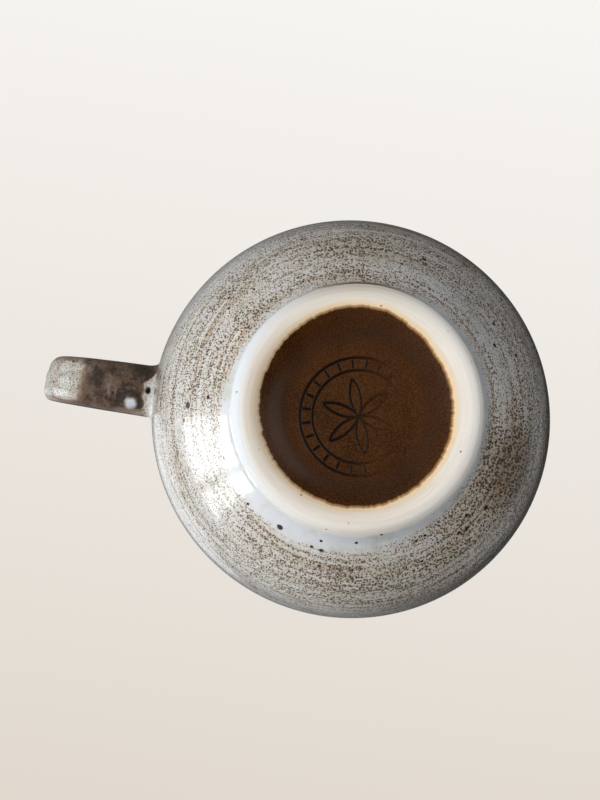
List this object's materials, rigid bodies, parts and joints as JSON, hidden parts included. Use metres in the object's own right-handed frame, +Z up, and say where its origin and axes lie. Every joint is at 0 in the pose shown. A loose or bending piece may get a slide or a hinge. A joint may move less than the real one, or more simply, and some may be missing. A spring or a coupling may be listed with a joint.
{
  "type": "stoneware mug",
  "caption": "Round-bellied thrown stoneware mug with a turned foot ring, a pulled strap handle and glaze coats, for hot drinks.",
  "frame": {"origin": "middle of the mug's bounding box on the surface that its foot ring stands on; the cup's own axis stands at x = +0.0136 m", "axes": "+Z up along the cup's axis towards the rim; the handle reaches out towards -X"},
  "size_m": [0.1222, 0.095, 0.088],
  "materials": {
    "bare_clay": "bare fired stoneware, cream with pink and orange flashing, fine turning lines",
    "speckled_glaze": "glossy blue-grey glaze with fine brown iron speckle in rings",
    "liner_glaze": "glossy blue-grey glaze with sparse speckle",
    "brown_glaze": "thin brown iron glaze, satin, with an orange edge",
    "handle_clay": "fired stoneware under glaze",
    "handle_glaze": "glossy glaze breaking from dark brown below to speckled blue-grey at the bend",
    "joint_slip": "glazed slip fillet, blue-grey"
  },
  "bodies": {
    "root": {"thrown_body": "bare_clay", "outer_glaze": "speckled_glaze", "liner_glaze": "liner_glaze", "foot_well_glaze": "brown_glaze", "handle": "handle_clay", "handle_glaze": "handle_glaze", "lower_handle_joint": "joint_slip", "upper_handle_joint": "joint_slip"}
  },
  "joints": []
}
